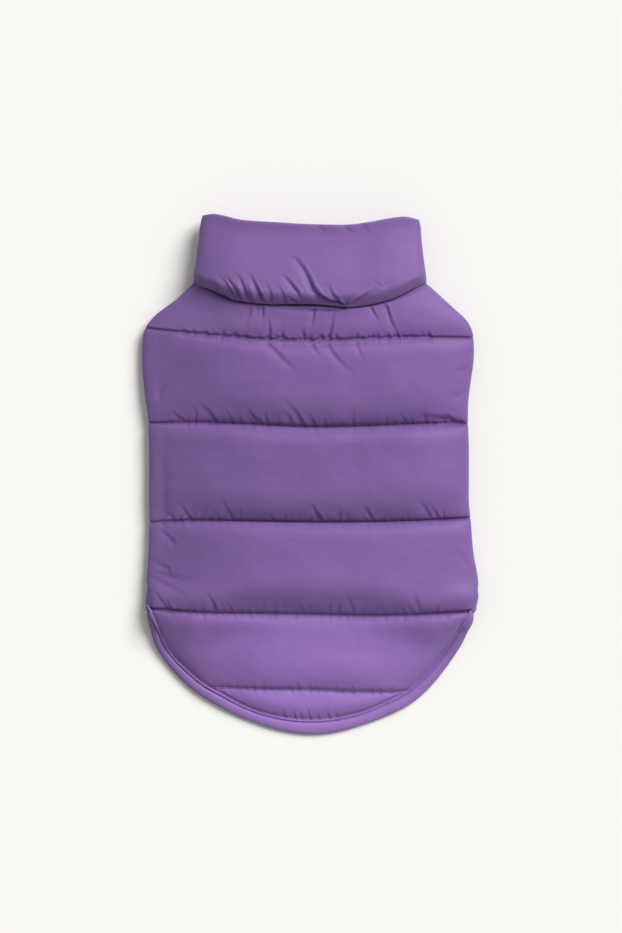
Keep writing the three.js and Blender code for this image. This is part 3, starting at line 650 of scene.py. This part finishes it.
collarColumns = columnsOf(collarForm["columns"])
collarParts = spacing(collarForm["rows"]) + [1]
collarTable = [[collarPoint(part, side, share) for side, share in collarColumns] for part in collarParts]


def collarSpot(i, j, outside=True):
    inner, outer, across = collarTable[j][i]
    point = outer if outside else inner
    return point, (collarColumns[i][0] * across * -mm, point.y * mm)


band = clothGrid(len(collarColumns) - 1, collarForm["rows"], collarSpot, joined=True)
collarLining = clothGrid((len(collarColumns) - 1) // 2, collarForm["rows"] // 2,
                         lambda i, j: collarSpot(2 * i, 2 * j, outside=False), joined=True)
collar = subdivided(finished(band, "collar_padded"))


def collarDepth(places, normals):
    creases = [(line, collarForm["creaseDepth"] * deep, collarForm["creaseWidth"] * wide)
               for line, deep, wide in collarCreases]
    top = np.clip((normals[:, 2] - 0.1) / 0.4, 0, 1)
    return top * troughs(places, creases) + np.clip(normals[:, 2] + 0.3, 0, 1) * lumps(places, collarForm["lumps"])


sunk(collar, collarDepth)
joinedLining(collar, collarLining)

# Belly panel
print("belly panel")


def bellySpot(height, step=1):
    rows, middle = bellyForm["rows"], bellyForm["columns"] // 2

    def spot(i, j):
        i, j = i * step, j * step
        along = 1 - j / rows
        y0 = mix(crossSeams[0][3], bellyForm["hemMiddle"], along)
        seamIndex = 0
        while seamIndex < 3 and y0 < crossSeams[seamIndex + 1][3]:
            seamIndex += 1
        start, end = crossSeams[seamIndex][3], crossSeams[seamIndex + 1][3]
        row = (seamIndex, (y0 - start) / (end - start))
        side = -1 if i < middle else 1
        form, seamX, seamY = lipEdge(row, side)
        reach = seamX - seams["gap"] - legHole(seamY)
        x = side * reach * abs(i - middle) / middle
        nearHem = smooth(clamp01((along - bellyForm["hemFrom"]) / (1 - bellyForm["hemFrom"])))
        y = mix(rowPlace(row, x / form["halfWidth"]), bellyHem(x), nearHem)
        if j == rows:
            y -= seams["neckGap"] / 2
        return Vector((x, y, height(x))), (x * mm, y * mm)
    return spot


bellyCreases = [  # on the hidden side, like those of the back
    ([(-52, 80), (-40, 74), (-27, 72)], 0.8, 1.4), ([(51, 78), (37, 75), (22, 77)], 0.7, 1.3),
    ([(-47, 60), (-34, 57), (-25, 58)], 0.9, 1.3), ([(46, 56), (35, 59), (30, 66)], 0.8, 1.2),
    ([(-50, 42), (-40, 30), (-36, 12)], 0.7, 1.5), ([(52, 40), (44, 22), (30, 10)], 0.8, 1.5),
    ([(-20, 96), (-14, 84), (-16, 70)], 0.6, 1.1), ([(8, 97), (10, 88), (6, 80)], 0.5, 1.1),
    ([(25, 97), (21, 90)], 0.5, 1.0),
    ([(-58, -20), (-38, -28), (-10, -26)], 0.6, 1.8), ([(60, -30), (44, -18), (38, 0)], 0.6, 1.6),
    ([(-45, -44), (-43, -58)], 0.6, 1.0), ([(-22, -42), (-24, -53)], 0.7, 1.0), ([(-3, -40), (-1, -51)], 0.5, 1.0),
    ([(15, -44), (14, -52)], 0.6, 1.0), ([(33, -42), (36, -55)], 0.7, 1.0), ([(52, -48), (54, -61)], 0.5, 1.0),
]


def bellyDepth(places, normals):
    y = places[:, 1]
    fromEdge = np.minimum(bellyForm["neckEnd"] - y, y - bellyForm["hemMiddle"]) + bellyForm["edgeMargin"]
    inside = np.clip(fromEdge / bellyForm["edgeReach"], 0, 1)
    uneven = np.maximum(bellyForm["rise"] + lumps(places, bellyForm["lumps"]), 0)
    return troughs(places, bellyCreases) * bellyForm["creaseDepth"] + uneven * inside


under = clothGrid(bellyForm["columns"], bellyForm["rows"], bellySpot(lambda x: 0))
over = clothGrid(bellyForm["columns"] // 2, bellyForm["rows"] // 2, bellySpot(bellyTop, 2))
bmesh.ops.reverse_faces(under, faces=under.faces)
belly = sunk(subdivided(finished(under, "belly_panel_padded")), bellyDepth)
bmesh.ops.reverse_faces(over, faces=over.faces)
joinedLining(belly, over)

# Bindings
print("bindings")
hemForm = {
    "wall": 0.3, "widths": (1.2, 8.0), "foldedWidth": 3.0,  # what shows from above
    "from": -69.0, "fade": 8.0, "fadeLeast": 0.12, "lowest": 0.25,  # it grows out of the side's roll
    "rows": [60, 40, 16], "endColumns": 60, "inside": 0.053, "pathTurns": 8, "widthTurns": 10,
    "step": 2.4, "cut": 16.0,  # of the weave's pattern
}
hemOuter = [(-96.2, -66), (-96.2, -72.7), (-92.2, -95.2), (-87.5, -104.4), (-81.8, -111.4), (-75.4, -118.9),
            (-68.5, -124.9), (-59.3, -131), (-45.4, -138.5), (-35, -142.5), (-21.2, -147.3), (-6.8, -149.8),
            (3, -150.1), (14, -148.9), (28.4, -144.8), (42.3, -139.9), (56.1, -133.3), (67.1, -124.6),
            (76.9, -112.5), (83.2, -103.6), (87.9, -95.2), (91.3, -88.3), (95.4, -77.9), (97, -69.2),
            (97, -64)]  # outer edge from above
for turn in range(3):  # corners cut until it is smooth
    cut = [hemOuter[0]]
    for (x0, y0), (x1, y1) in zip(hemOuter, hemOuter[1:]):
        cut += [(mix(x0, x1, 0.25), mix(y0, y1, 0.25)), (mix(x0, x1, 0.75), mix(y0, y1, 0.75))]
    hemOuter = cut + [hemOuter[-1]]


def hemPath():
    rows = [(channel, part) for channel, count in zip((3, 4, 5), hemForm["rows"]) for part in spacing(count)]
    rows = [row for row in rows if rowPlace(row, -1) < hemForm["from"]]
    middle = hemForm["endColumns"]
    pairs = [((row, -1, 0), (row, -1, hemForm["inside"])) for row in rows]
    for k in range(2 * middle + 1):
        side, share = -1 if k < middle else 1, 1 - abs(k - middle) / middle
        pairs.append((((lastChannel, 1.0), side, share), ((lastChannel, 0.9), side, share)))
    pairs += [((row, 1, 0), (row, 1, hemForm["inside"])) for row in reversed(rows)]
    path = []
    for atEdge, further in pairs:
        inner, outer, _ = backPoint(*atEdge)
        inner2, outer2, _ = backPoint(*further)
        up = outer - inner
        path.append({"middle": (inner + outer) / 2, "up": up.normalized(), "half": up.length / 2,
                     "inside": (inner2 + outer2) / 2})
    for name in ("middle", "up"):
        found = evened(np.array([tuple(spot[name]) for spot in path]), hemForm["pathTurns"])
        for spot, value in zip(path, found):
            spot[name] = Vector(value) if name == "middle" else Vector(value).normalized()
    edge = np.array(hemOuter)
    for i, spot in enumerate(path):
        before, after = path[max(0, i - 2)]["middle"], path[min(len(path) - 1, i + 2)]["middle"]
        out = (after - before).normalized().cross(spot["up"]).normalized()
        if out.dot(spot["inside"] - spot["middle"]) > 0:
            out.negate()
        spot["out"] = out
        level = math.hypot(out.x, out.y)
        reach = float(distanceTo(edge, spot["middle"].x, spot["middle"].y)[0]) / max(0.5, level)
        reach = min(hemForm["widths"][1], max(hemForm["widths"][0], reach))
        spot["width"] = mix(hemForm["foldedWidth"], reach, smooth(clamp01((level - 0.5) / 0.4)))
        spot["rise"] = max(0.1, 1 - 1.5 * math.hypot(spot["up"].x, spot["up"].y))
    widths = evened(np.array([spot["width"] for spot in path]), hemForm["widthTurns"])
    for spot, width in zip(path, widths):
        spot["width"] = float(width)
    return path


hem = hemPath()


def hemSection(spot):  # from the stitches on top, round the edge and back underneath
    w, h, rise = spot["width"], spot["half"], spot["rise"]
    return [(-2.0, h - 1.5), (-1.75, h + 0.1 * rise), (-1.4, h + 0.65 * rise), (-1.05, h + 0.2 * rise),
            (-0.95, h - 1.1), (-0.3, h - 1.1), (-0.15, h + 0.1 * rise), (0.22 * w, h + 0.25 * rise),
            (0.5 * w, h + 0.15 * rise), (0.8 * w, h - 0.3), (0.96 * w, 0.3 * h), (w, -0.3),
            (0.96 * w, -0.6 * h), (0.82 * w, -h + 0.25), (0.5 * w, -h + 0.25), (0.15, -h + 0.25)]


hemAcross = len(hemSection(hem[0])) - 1


def hemSpot(i, j):
    spot = hem[i]
    outward, height = hemSection(spot)[hemAcross - j]
    shown = mix(hemForm["fadeLeast"], 1, smooth(clamp01((hemForm["from"] - spot["middle"].y) / hemForm["fade"])))
    point = spot["middle"] + (spot["out"] * outward + spot["up"] * height) * shown
    point.z = max(hemForm["lowest"], point.z)
    return point, (i * hemForm["step"] * mm, j * hemForm["cut"] / hemAcross * mm)


def taped(bm, name, thickness):
    piece = finished(bm, name)
    wall = piece.modifiers.new("wall", "SOLIDIFY")
    wall.thickness = thickness * mm
    wall.offset = 0
    return applied(piece)


hemBinding = taped(clothGrid(len(hem) - 1, hemAcross, hemSpot), "hem_binding_back_tape", hemForm["wall"])

bellyTape = {
    "wall": 0.3, "row": (3, 0.82), "endGap": 3.5, "columns": 80, "step": 1.4,
    "section": [(0, 5.0), (1.2, 5.1), (2.8, 4.9), (4.0, 4.0), (4.4, 2.6), (4.2, 1.0), (3.4, 0.25), (1.6, 0.25),
                (0, 0.25)],
}
bellyEnds = [side * (lipEdge(bellyTape["row"], side)[1] - bellyTape["endGap"]) for side in (-1, 1)]
bellyAcross = len(bellyTape["section"]) - 1


def bellyTapeSpot(i, j):
    x = mix(*bellyEnds, i / bellyTape["columns"])
    outward, z = bellyTape["section"][bellyAcross - j]
    return Vector((x, bellyHem(x) - seams["gap"] - outward, z)), (x * mm, j * bellyTape["step"] * mm)


bellyBinding = taped(clothGrid(bellyTape["columns"], bellyAcross, bellyTapeSpot), "hem_binding_belly_tape",
                     bellyTape["wall"])

legTape = {
    "wall": 0.45, "steps": 40, "step": 1.5,
    "section": [(0.6, 2.8), (0.7, 4.0), (1.5, 4.3), (2.8, 3.9), (3.6, 2.8), (3.7, 1.6), (3.2, 0.5), (2.2, 0.28),
                (1.2, 0.28), (0.5, 0.28)],  # drawn in from the hole's edge, and height
}


def legBinding(side):
    middle, halfWidth, halfLength = legHoles["middle"], legHoles["halfWidth"], legHoles["halfLength"]
    section = legTape["section"]
    keysY = [-lipEdge(row, side)[2] for row in backRows]
    keysX = [lipEdge(row, side)[1] for row in backRows]
    edge = [(curve(keysY, keysX, -float(y)), float(y))
            for y in np.linspace(middle + halfLength, middle - halfLength, legTape["steps"] + 1)]
    centreX = sum(x for x, _ in edge) / len(edge)
    ring = [(x, y, 1) for x, y in edge] + [(x, y, -1) for x, y in reversed(edge[:-1])]

    def spot(i, j):
        drawn, z = section[j]
        x, y, way = ring[i]
        x = centreX + (x - centreX + way * legHole(y)) * ((halfWidth - drawn) / halfWidth)
        y = middle + (y - middle) * ((halfLength - drawn) / halfLength)
        return Vector((side * x, y, z)), (i * legTape["step"] * mm, j * mm)
    ({"width": lengthOf([spot(legTape["steps"] // 2, j)[0] for j in range(len(section))]),
                     "length": lengthOf([spot(i, 4)[0] for i in range(len(ring))])})
    bm = clothGrid(len(ring) - 1, len(section) - 1, spot, joined=True)
    bmesh.ops.recalc_face_normals(bm, faces=bm.faces)
    return taped(bm, "leg_binding_left_tape" if side < 0 else "leg_binding_right_tape", legTape["wall"])


legTapes = [legBinding(-1), legBinding(1)]

# Stitches: short capsules of thread, each between two holes
print("stitches")
sewing = {
    "pitch": 1.6, "gap": 0.6, "thread": 0.23,
    "below": 0.6, "lift": 0.15, "sink": 0.35,  # from the line towards the tail, over the cloth, less at the sides
    "furrow": 1.35,  # in from the panel's edge
}


def stitches(name, lines):
    single = bmesh.new()
    bmesh.ops.create_uvsphere(single, u_segments=6, v_segments=4, radius=1)
    single.verts.index_update()
    capsule = [v.co.copy() for v in single.verts]
    capsuleFaces = [[v.index for v in face.verts] for face in single.faces]
    single.free()
    points, faces = [], []
    half = (sewing["pitch"] - sewing["gap"]) / 2
    size = Matrix.Diagonal((half * mm, sewing["thread"] * mm, sewing["thread"] * mm, 1))
    for line in lines:
        travelled, following = 0.0, 0.0
        for start, end in zip(line, line[1:]):
            step = (end - start).length
            while following < travelled + step:
                middle = start.lerp(end, (following - travelled) / step)
                turned = (end - start).to_track_quat("X", "Z").to_matrix().to_4x4()
                laid = Matrix.Translation((middle + place) * mm) @ turned @ size
                first = len(points)
                points += [laid @ spot for spot in capsule]
                faces += [[first + k for k in face] for face in capsuleFaces]
                following += sewing["pitch"]
            travelled += step
    mesh = bpy.data.meshes.new(name)
    mesh.from_pydata(points, [], faces)
    return linked(name, mesh)


quiltLines = []
for seam in range(1, lastChannel + 1):
    row = (seam, sewing["below"] / channelLength((seam, 0)))
    quiltLines.append([])
    for side, share in backColumns[::2]:
        if share < 0.2 and seam < lastChannel:  # not round the turned-under sides
            continue
        outer = backPoint(row, side, share)[1]
        sunkBy = sewing["sink"] * clamp01((abs(outer.x) - coat["sideFrom"]) / coat["sideOver"])
        quiltLines[-1].append(outer + Vector((0, 0, sewing["lift"] - sunkBy)))
furrow = []
for spot in hem[4:-4]:
    if spot["middle"].y <= -80:
        lifted = spot["half"] + 0.6 * spot["rise"] + 0.2
        furrow.append(spot["middle"] - spot["out"] * sewing["furrow"] + spot["up"] * lifted)
quiltThread = stitches("quilting_stitches", quiltLines)
hemThread = stitches("hem_stitches", [furrow])


# Materials
print("materials")


def linear(hexCode):  # sRGB hex to the linear values that the shader takes
    values = [int(hexCode[at:at + 2], 16) / 255 for at in (0, 2, 4)]
    return (*(v / 12.92 if v <= 0.04045 else ((v + 0.055) / 1.055) ** 2.4 for v in values), 1)


def addNode(tree, kind, settings=None, sockets=None):
    node = tree.nodes.new("ShaderNode" + kind)
    for key, value in (settings or {}).items():
        setattr(node, key, value)
    for key, value in (sockets or {}).items():
        if isinstance(value, bpy.types.NodeSocket):
            tree.links.new(value, node.inputs[key])
        else:
            node.inputs[key].default_value = value
    return node


def woven(tree, spots, look):  # relief of the weave, and of fine wrinkles over it
    uv = addNode(tree, "UVMap", {"uv_map": "cloth"})
    # warp and weft about 0.6 mm apart, where real ones are 0.15 mm: too fine to show, so drawn coarser
    threads, picks = (addNode(tree, "TexWave", {"bands_direction": way}, {
        "Vector": uv.outputs[0], "Scale": look["weave"], "Distortion": 0.6}) for way in ("X", "Y"))
    weave = addNode(tree, "Math", {"operation": "MULTIPLY"}, {0: threads.outputs[1], 1: picks.outputs[1]})
    wrinkle = addNode(tree, "TexNoise", None, {"Vector": spots, "Scale": look["wrinkles"], "Detail": 4.0})
    fine = addNode(tree, "Bump", None, {
        "Height": weave.outputs[0], "Strength": 0.12, "Distance": look["weaveRelief"]})
    return addNode(tree, "Bump", None, {
        "Height": wrinkle.outputs[0], "Strength": 0.25, "Distance": look["relief"], "Normal": fine.outputs[0]})


def surface(name, look):
    material = bpy.data.materials.new(name)
    material.use_nodes = True
    tree = material.node_tree
    tree.nodes.clear()
    spots = addNode(tree, "TexCoord").outputs["Object"]
    grain = addNode(tree, "TexNoise", None, {"Vector": spots, "Scale": look["grain"], "Detail": 3.0}).outputs[0]
    colour = addNode(tree, "Mix", {"data_type": "RGBA"}, {
        0: grain, 6: linear(look["shade"]), 7: linear(look["colour"])})
    if "weave" in look:
        bump = woven(tree, spots, look)
    else:
        bump = addNode(tree, "Bump", None, {"Height": grain, "Strength": 0.2, "Distance": look["relief"]})
    shader = addNode(tree, "BsdfPrincipled", None, {
        "Base Color": colour.outputs[2], "Roughness": look["roughness"], "Specular IOR Level": look["specular"],
        "Sheen Weight": look.get("sheen", 0), "Sheen Roughness": 0.4, "Normal": bump.outputs[0]})
    addNode(tree, "OutputMaterial", None, {"Surface": shader.outputs[0]})
    return material


# Plain-woven nylon, lightly calendered: the eye gets a soft, broad satin gleam and a little fuzz at grazing angles
taffeta = {
    "colour": "72558E", "shade": "694D85", "roughness": 0.58, "sheen": 0.25, "specular": 0.26,
    "grain": 45.0, "weave": 500.0, "weaveRelief": 0.1 * mm, "wrinkles": 160.0, "relief": 0.8 * mm,
}
# The same yarn woven narrow and ironed into a fold, a little smoother; its slightly paler colour is painted light, so
# its edge reads as a brighter band
tapeClothPaintedLight = {**taffeta, "colour": "75588F", "shade": "6C5087", "roughness": 0.56}
# Spun polyester, paler than the cloth: the pale tone is painted highlight, so the stitches show as small light dots
# along the seams
threadPaintedGlint = {
    "colour": "8A6EA8", "shade": "76599A", "roughness": 0.55, "specular": 0.3, "grain": 1500.0, "relief": 0.1 * mm,
}
# Rolled matt paper: no gleam at all, an even near-white under the soft shadow
mattPaper = {
    "colour": "F5F4F0", "shade": "F4F3EF", "roughness": 0.95, "specular": 0.1, "grain": 60.0, "relief": 0.1 * mm,
}
cloths = {"shell_fabric": surface("nylon_taffeta_woven", taffeta),
          "binding_fabric": surface("nylon_binding_tape_folded", tapeClothPaintedLight)}
# the thread's paler colour is painted highlight on the stitches
glintPaintedThreadLook = surface("polyester_thread_painted_glint", threadPaintedGlint)
coatOnly = bpy.data.collections.new("coat")  # what the spots light
for piece, node, slot in ((back, "back_panel", "shell_fabric"), (collar, "collar", "shell_fabric"),
                          (belly, "belly_panel", "shell_fabric"), (hemBinding, "hem_binding_back", "binding_fabric"),
                          (bellyBinding, "hem_binding_belly", "binding_fabric"),
                          (legTapes[0], "leg_binding_left", "binding_fabric"),
                          (legTapes[1], "leg_binding_right", "binding_fabric")):
    coatOnly.objects.link(piece)
    piece.data.materials.clear()
    piece.data.materials.append(cloths[slot])
    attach(piece, "root")
    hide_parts(node)
for piece in (quiltThread, hemThread):
    piece.data.materials.append(glintPaintedThreadLook)
    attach(piece, "root")

# Stage: pale floor, soft light, camera straight above
print("stage")
studio = {
    "floorSize": 3.0, "skyStrength": 0.38, "azimuth": 48.0,
    "keyStrength": 3.4, "keyAngle": 34.0, "keyElevation": 38.0,
    "spotElevation": 62.0, "spotDistance": 0.6, "spotRadius": 0.05,
    "spots": {  # aim, power and cone: the photo's collar and tail are brighter than its middle
        "tail_spot": ((0.0, -0.19, 0.0), 13.5, 28.0), "collar_spot": ((0.035, 0.165, 0.02), 2.4, 24.0),
        "middle_spot": ((0.0, -0.02, 0.0), 3.0, 50.0)},
    "millimetresHigh": 538.3, "cameraHeight": 2.508, "aim": (0.0008, 0.00495), "sensor": 36.0, "lensDistance": 2.5,
}
ground = bmesh.new()
bmesh.ops.create_grid(ground, x_segments=1, y_segments=1, size=studio["floorSize"])
floor = finished(ground, "floor")
floor.data.materials.append(surface("matt_paper_rolled", mattPaper))

world = bpy.data.worlds.new("studio")
scene.world = world
world.use_nodes = True
sky = world.node_tree.nodes["Background"].inputs
sky["Color"].default_value = (1, 1, 1, 1)
sky["Strength"].default_value = studio["skyStrength"]


def lamp(name, kind, power, elevation):
    light = bpy.data.lights.new(name, kind)
    light.energy = power
    stand = bpy.data.objects.new(name, light)
    high, turn = math.radians(elevation), math.radians(studio["azimuth"])
    towards = Vector((math.cos(high) * math.cos(turn), math.cos(high) * math.sin(turn), math.sin(high)))
    stand.rotation_euler = towards.to_track_quat("Z", "Y").to_euler()
    scene.collection.objects.link(stand)
    return light, stand, towards


sun = lamp("key", "SUN", studio["keyStrength"], studio["keyElevation"])[0]
sun.angle = math.radians(studio["keyAngle"])
for name, (aim, power, degrees) in studio["spots"].items():
    cone, spot, towards = lamp(name, "SPOT", power, studio["spotElevation"])
    cone.spot_size = math.radians(degrees)
    cone.spot_blend = 1.0
    cone.shadow_soft_size = studio["spotRadius"]
    spot.location = Vector(aim) + towards * studio["spotDistance"]
    spot.light_linking.receiver_collection = coatOnly
    spot.visible_glossy = False

lens = bpy.data.cameras.new("camera")
lens.sensor_fit = "VERTICAL"
lens.sensor_height = studio["sensor"]
lens.lens = studio["sensor"] * studio["lensDistance"] / (studio["millimetresHigh"] * mm)
camera = bpy.data.objects.new("camera", lens)
camera.location = (*studio["aim"], studio["cameraHeight"])
scene.collection.objects.link(camera)
scene.camera = camera
scene.view_settings.view_transform = "Standard"
